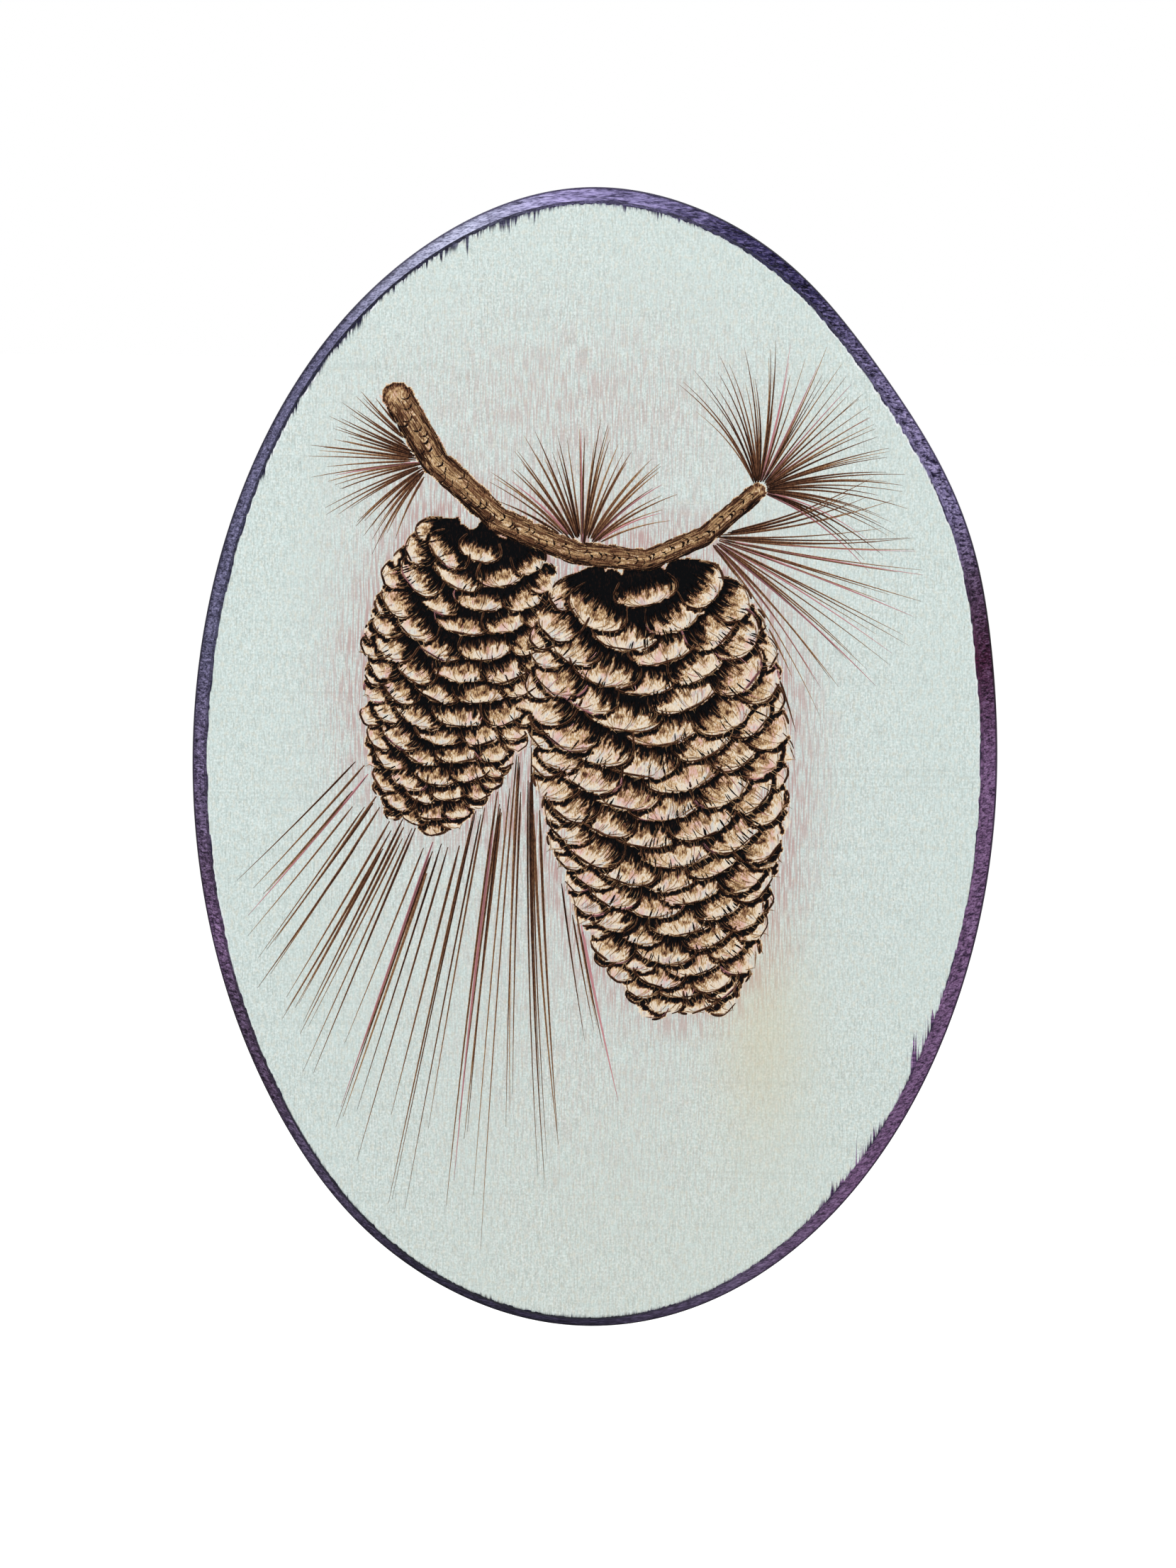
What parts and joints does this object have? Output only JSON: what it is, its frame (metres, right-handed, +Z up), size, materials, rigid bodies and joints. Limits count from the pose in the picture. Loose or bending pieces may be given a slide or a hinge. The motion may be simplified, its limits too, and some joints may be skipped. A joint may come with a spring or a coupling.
{
  "type": "wood-burned oval plaque",
  "caption": "Oval plywood wall plaque with a bevelled, dyed edge and a wood-burned pine-cone design on its pale face, hung by a sawtooth strip nailed to its back.",
  "frame": {"origin": "where a wall nail seats: the root of the middle notch of the hanger's teeth, at the middle of the strip's thickness", "axes": "+Z up along the oval's long axis, +Y into the wall, so the burnt face looks along -Y; +X is the plaque's right seen from the front"},
  "size_m": [0.126, 0.0093, 0.1787],
  "materials": {
    "face_wood": "pale sanded veneer with a burnt drawing, dyed at its edge",
    "core_wood": "rough cross-grain edge, purple dye",
    "back_wood": "sanded, bare",
    "hanger_steel": "pressed, zinc plated",
    "brad_brass": "polished"
  },
  "bodies": {
    "root": {"face_veneer": "face_wood", "core_ply": "core_wood", "back_veneer": "back_wood", "sawtooth_hanger": "hanger_steel", "hanger_brad_left": "brad_brass", "hanger_brad_right": "brad_brass"}
  },
  "joints": []
}
